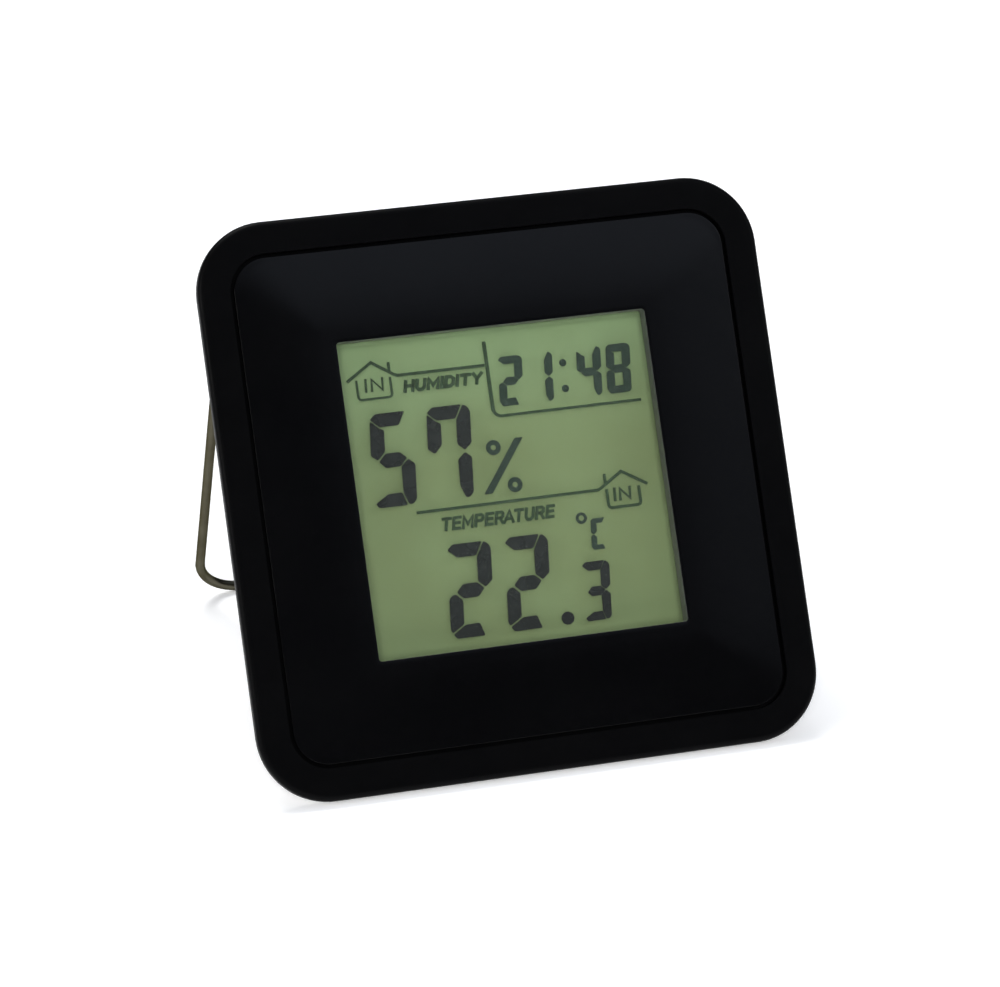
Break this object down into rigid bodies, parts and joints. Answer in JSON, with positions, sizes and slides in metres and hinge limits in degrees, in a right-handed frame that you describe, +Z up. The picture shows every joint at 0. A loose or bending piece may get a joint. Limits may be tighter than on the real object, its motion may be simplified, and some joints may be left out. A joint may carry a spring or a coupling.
{
  "type": "desk thermo-hygrometer",
  "caption": "Square black desk thermo-hygrometer with clock: recessed segment display, hinged wire stand, rear keys, battery door and wall-hanging keyhole.",
  "frame": {"origin": "on the table, under the middle of the bounding box", "axes": "+X to the viewer's right along the frame's lower edge, -Y towards the viewer, +Z up; the face leans back onto the opened stand"},
  "size_m": [0.085, 0.0738, 0.0745],
  "materials": {
    "frame_plastic": "satin",
    "panel_plastic": "semi-gloss",
    "tape": "matte",
    "lens_clear": "clear",
    "display_glass": "clear",
    "reflector_film": "matte",
    "strip_rubber": "matte",
    "carrier_plastic": "matte",
    "board_laminate": "satin",
    "resin": "gloss",
    "bright_steel": "brushed",
    "chip_body": "matte",
    "sensor_white": "matte",
    "bead_black": "gloss",
    "switch_black": "matte",
    "plunger_red": "matte",
    "key_plastic": "satin",
    "cover_plastic": "fine grain",
    "cell_wrap": "satin",
    "stand_wire": "satin"
  },
  "bodies": {
    "case": {"front_frame": "frame_plastic", "front_panel": "panel_plastic", "panel_tape": "tape", "window_lens": "lens_clear", "lcd_cell": "display_glass", "lcd_reflector": "reflector_film", "contact_strips": "strip_rubber", "lcd_carrier": "carrier_plastic", "circuit_board": "board_laminate", "controller_blob": "resin", "timing_crystal": "bright_steel", "board_components": "chip_body", "humidity_element": "sensor_white", "thermistor": "bead_black", "board_screws": "bright_steel", "switch_bodies": "switch_black", "back_cover": "cover_plastic", "battery_cell": "cell_wrap", "spring_contact": "bright_steel", "plate_contact": "bright_steel", "cover_screws": "bright_steel"},
    "mode_button": {"mode_key": "key_plastic", "mode_plunger": "plunger_red"},
    "adjust_button": {"adjust_key": "key_plastic", "adjust_plunger": "plunger_red"},
    "memory_button": {"memory_key": "key_plastic", "memory_plunger": "plunger_red"},
    "door": {"battery_door": "cover_plastic"},
    "stand": {"wire_stand": "stand_wire"}
  },
  "joints": [
    {"name": "stand_swing", "type": "hinge", "parent": "case", "child": "stand", "pos_m": [0, 0.00746, 0.0552], "axis": [1, 0, 0], "range_deg": [-57.4, 0]},
    {"name": "door_swing", "type": "hinge", "parent": "case", "child": "door", "pos_m": [0, -0.00729, 0.01032], "axis": [-1, 0, 0], "range_deg": [0, 95]},
    {"name": "mode_press", "type": "slide", "parent": "case", "child": "mode_button", "axis": [0, -0.869, 0.4948], "range_m": [0, 0.0006], "stiffness_N_per_m": 1500},
    {"name": "adjust_press", "type": "slide", "parent": "case", "child": "adjust_button", "axis": [0, -0.869, 0.4948], "range_m": [0, 0.0006], "stiffness_N_per_m": 1500},
    {"name": "memory_press", "type": "slide", "parent": "case", "child": "memory_button", "axis": [0, -0.869, 0.4948], "range_m": [0, 0.0006], "stiffness_N_per_m": 1500}
  ]
}
